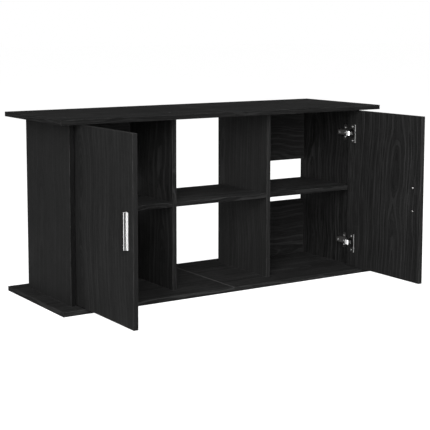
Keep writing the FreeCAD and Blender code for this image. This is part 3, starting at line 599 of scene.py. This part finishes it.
def make_floor():
    """Pale seamless floor."""
    mesh = bpy.data.meshes.new("studio_floor")
    signs = ((-1, -1), (1, -1), (1, 1), (-1, 1))
    corners = [(x * FLOOR_REACH, y * FLOOR_REACH, 0) for x, y in signs]
    mesh.from_pydata(corners, [], [(0, 1, 2, 3)])
    floor = bpy.data.objects.new("studio_floor", mesh)
    bpy.context.scene.collection.objects.link(floor)
    graph = Graph("pale_floor")
    drift = graph.noise(graph.millimetres(), (FLOOR_DRIFT_MM,) * 3, 2.0)
    colour = graph.blend(drift, FLOOR_DARK, FLOOR_LIGHT)
    path = graph.node("ShaderNodeLightPath")
    glow = graph.math("MULTIPLY", path.outputs["Is Camera Ray"], FLOOR_GLOW)
    graph.feed(graph.shader.inputs["Emission Strength"], glow)
    graph.shader.inputs["Emission Color"].default_value = grey(1.0)
    mesh.materials.append(graph.finish(colour, roughness=0.8, Specular_IOR_Level=0.1))


def make_camera():
    """Camera of the photograph: from the front left, looking a little down."""
    camera = bpy.data.objects.new("camera", bpy.data.cameras.new("camera"))
    bpy.context.scene.collection.objects.link(camera)
    camera.location = CAMERA_PLACE
    turn, tilt = math.radians(CAMERA_TURN), math.radians(CAMERA_TILT)
    camera.rotation_euler = Euler((math.pi / 2 - tilt, 0.0, -turn))
    camera.data.lens, camera.data.sensor_width = CAMERA_LENS, CAMERA_SENSOR
    camera.data.shift_x, camera.data.shift_y = CAMERA_SHIFT_X, CAMERA_SHIFT_Y
    bpy.context.scene.camera = camera


def make_softbox(name, place, size, power):
    """Square area light aimed at the middle of the cabinet."""
    lamp = bpy.data.lights.new(name, "AREA")
    lamp.shape = "SQUARE"
    lamp.size = size
    lamp.energy = power
    box = bpy.data.objects.new(name, lamp)
    bpy.context.scene.collection.objects.link(box)
    box.location = CENTRE + Vector(place)
    box.rotation_euler = (-Vector(place)).to_track_quat("-Z", "Y").to_euler()


def make_world():
    """Soft light from round the horizon and from the left; plain white where the camera looks."""
    world = bpy.data.worlds.new("studio")
    world.use_nodes = True
    bpy.context.scene.world = world
    tree = world.node_tree
    tree.nodes.clear()
    new, link = tree.nodes.new, tree.links.new
    place, parts = new("ShaderNodeTexCoord"), new("ShaderNodeSeparateXYZ")
    link(place.outputs["Generated"], parts.inputs[0])
    total = new("ShaderNodeMath")
    for slot, (axis, *numbers) in enumerate(WORLD_BANDS):
        band = new("ShaderNodeMapRange")
        band.interpolation_type = "SMOOTHSTEP"
        link(parts.outputs[axis], band.inputs[0])
        for socket, number in zip(band.inputs[1:], numbers):
            socket.default_value = number
        link(band.outputs[0], total.inputs[slot])
    dome, backdrop = new("ShaderNodeBackground"), new("ShaderNodeBackground")
    path, mix = new("ShaderNodeLightPath"), new("ShaderNodeMixShader")
    out = new("ShaderNodeOutputWorld")
    dome.inputs["Color"].default_value = grey(1.0)
    backdrop.inputs["Color"].default_value = grey(1.0)
    link(total.outputs[0], dome.inputs["Strength"])
    link(path.outputs["Is Camera Ray"], mix.inputs[0])
    link(dome.outputs[0], mix.inputs[1])
    link(backdrop.outputs[0], mix.inputs[2])
    link(mix.outputs[0], out.inputs[0])


# ---------------------------------------------------------------- the cabinet

for number, (board, decor) in enumerate(BOARDS.items(), start=1):
    paint(board, oak_material(board + "_oak", board, number, *decor))

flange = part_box("hinge_right_upper_cup")[0][0] + FLANGE_THICKNESS_MM * MM
nickel = plated_steel("nickel_plate", grey(0.17, 0.03), grey(0.26, 0.02), 0.26, spots=2.2)
zinc = plated_steel("zinc_plate", grey(0.52), grey(0.72, -0.01), 0.24, spots=1.6)
screw_zinc = plated_steel("screw_zinc", grey(0.38), grey(0.55), 0.30, spots=1.2)
die_cast = plated_steel("die_cast_zinc", grey(0.36), grey(0.50), 0.38, spots=1.1)

# finish of a fitting, by the first of these words that is in its name
FITTINGS = (
    ("dowels", beech("beech_dowel")),
    ("handle_screws", nickel),
    ("handle", pull_aluminium("pull_aluminium")),
    ("confirmat", zinc),
    ("seam_bolts", zinc),
    ("seam_cams", die_cast),
    ("screws", screw_zinc),
    ("_pin", screw_zinc),
    ("_cup", cup_steel("cup_nickel", flange)),
    ("_arm", arm_steel("arm_nickel", flange)),
    ("_plate", nickel),
)
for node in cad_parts:
    if node not in BOARDS:
        paint(node, next(finish for word, finish in FITTINGS if word in node))

plastic = black_plastic("black_plastic")
make_caps("base", LOW[2], outward=-1, material=plastic)
make_caps("top", HIGH[2], outward=1, material=plastic)

make_floor()
make_camera()
make_world()
for name, softbox in SOFTBOXES.items():
    make_softbox(name, *softbox)
bpy.context.scene.view_settings.view_transform = "Standard"
